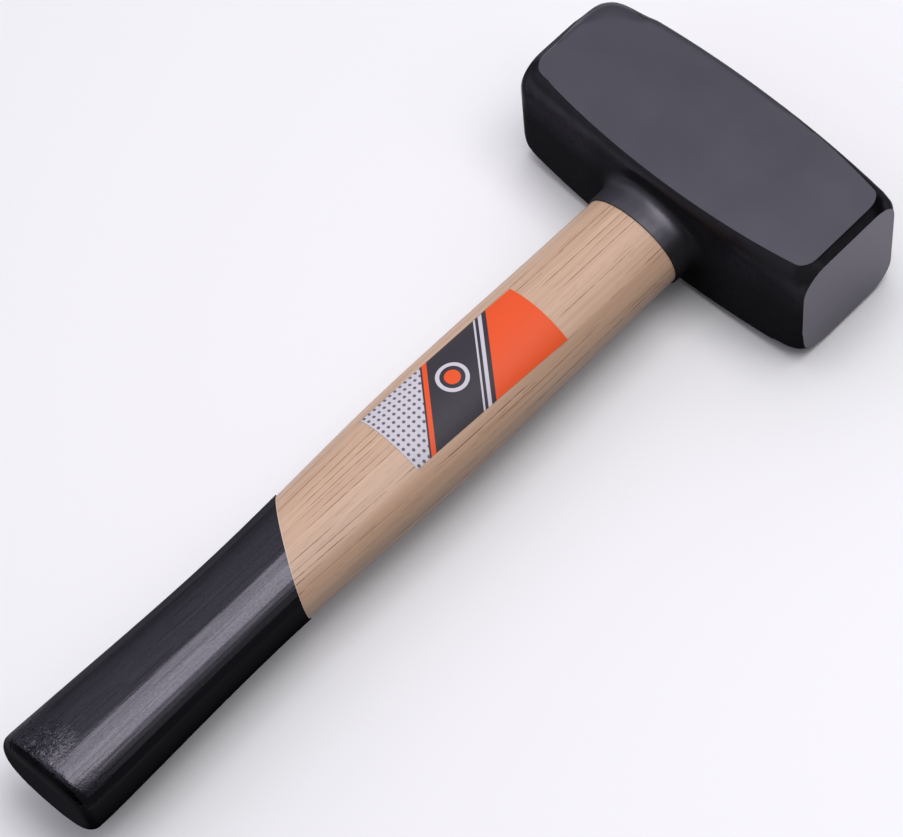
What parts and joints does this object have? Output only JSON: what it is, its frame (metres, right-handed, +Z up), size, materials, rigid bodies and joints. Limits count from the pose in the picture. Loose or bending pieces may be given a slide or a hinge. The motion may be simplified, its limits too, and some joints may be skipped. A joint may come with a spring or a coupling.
{
  "type": "lump hammer",
  "caption": "Lump hammer with a barrel-shaped forged steel head, ground cheeks and a collared eye, wedged onto an oval wooden handle with a lacquered grip.",
  "frame": {"origin": "middle of the lower cheek, right under the middle of the eye; the hammer lies on that cheek", "axes": "+Z up from the cheek that it lies on, +X along the head towards one striking face, +Y along the handle from the butt towards the head"},
  "size_m": [0.11, 0.2895, 0.045],
  "materials": {
    "head_steel": "dark satin, ground on the cheeks and striking faces",
    "handle_wood": "smooth, clear lacquered",
    "wedge_wood": "sawn, bare",
    "wedge_steel": "bare, hammered in",
    "grip_lacquer": "glossy dipped lacquer over the grain",
    "label_film": "smooth printed film with a satin sheen"
  },
  "bodies": {
    "root": {"head": "head_steel", "handle": "handle_wood", "wood_wedge": "wedge_wood", "steel_wedges": "wedge_steel", "grip_coat": "grip_lacquer", "label": "label_film"}
  },
  "joints": []
}
